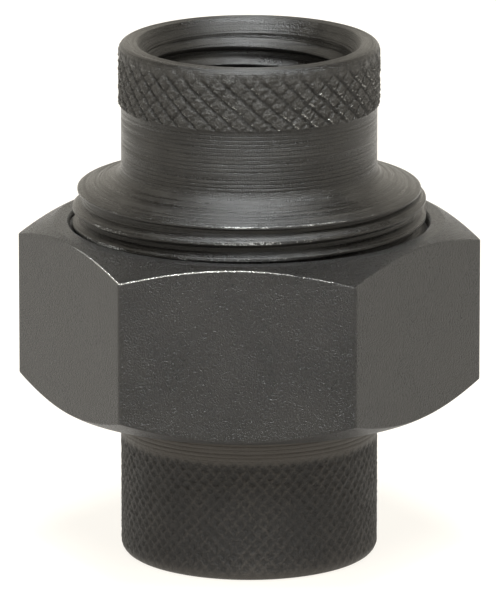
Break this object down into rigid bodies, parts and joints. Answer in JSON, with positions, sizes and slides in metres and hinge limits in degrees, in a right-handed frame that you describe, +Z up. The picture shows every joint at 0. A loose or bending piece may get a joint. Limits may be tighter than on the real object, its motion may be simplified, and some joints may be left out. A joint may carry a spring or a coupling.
{
  "type": "pipe union",
  "caption": "Insulated pipe union: knurled threaded body, hexagonal union nut and knurled tailpiece, with female taper pipe threads at both ends and a rubber gasket inside.",
  "frame": {"origin": "on the pipe axis, in the plane of the tailpiece's lower end, which the union stands on", "axes": "+Z up along the pipe axis, from the tailpiece to the union body; one pair of the nut's corners lies 3.36 degrees clockwise of the X axis seen from above"},
  "size_m": [0.0474, 0.0426, 0.0536],
  "materials": {
    "blackened_tail": "black oxide over fine knurling",
    "black_rubber": "matt moulded rubber",
    "nylon": "natural moulded nylon",
    "blackened_nut": "black oxide over a fine forged grain",
    "blackened_body": "black oxide over turned steel"
  },
  "bodies": {
    "tailpiece": {"tailpiece": "blackened_tail"},
    "gasket": {"sealing_gasket": "black_rubber"},
    "body": {"union_body": "blackened_body"},
    "bushing": {"insulator_bushing": "nylon"},
    "nut": {"union_nut": "blackened_nut"}
  },
  "joints": [
    {"name": "swivel", "type": "hinge", "parent": "tailpiece", "child": "gasket", "pos_m": [0, 0, 0.0263], "axis": [0, 0, 1], "continuous": true},
    {"name": "body_lift", "type": "slide", "parent": "gasket", "child": "body", "axis": [0, 0, 1], "range_m": [0, 0.03]},
    {"name": "nut_travel", "type": "slide", "parent": "gasket", "child": "bushing", "axis": [0, 0, -1], "range_m": [0, 0.00681]},
    {"name": "nut_turn", "type": "hinge", "parent": "bushing", "child": "nut", "pos_m": [0, 0, 0.02568], "axis": [0, 0, -1], "range_deg": [0, 1440]}
  ],
  "couplings": [
    {"joint": "nut_travel", "follows": "nut_turn", "m_per_rad": 0.00027056}
  ]
}
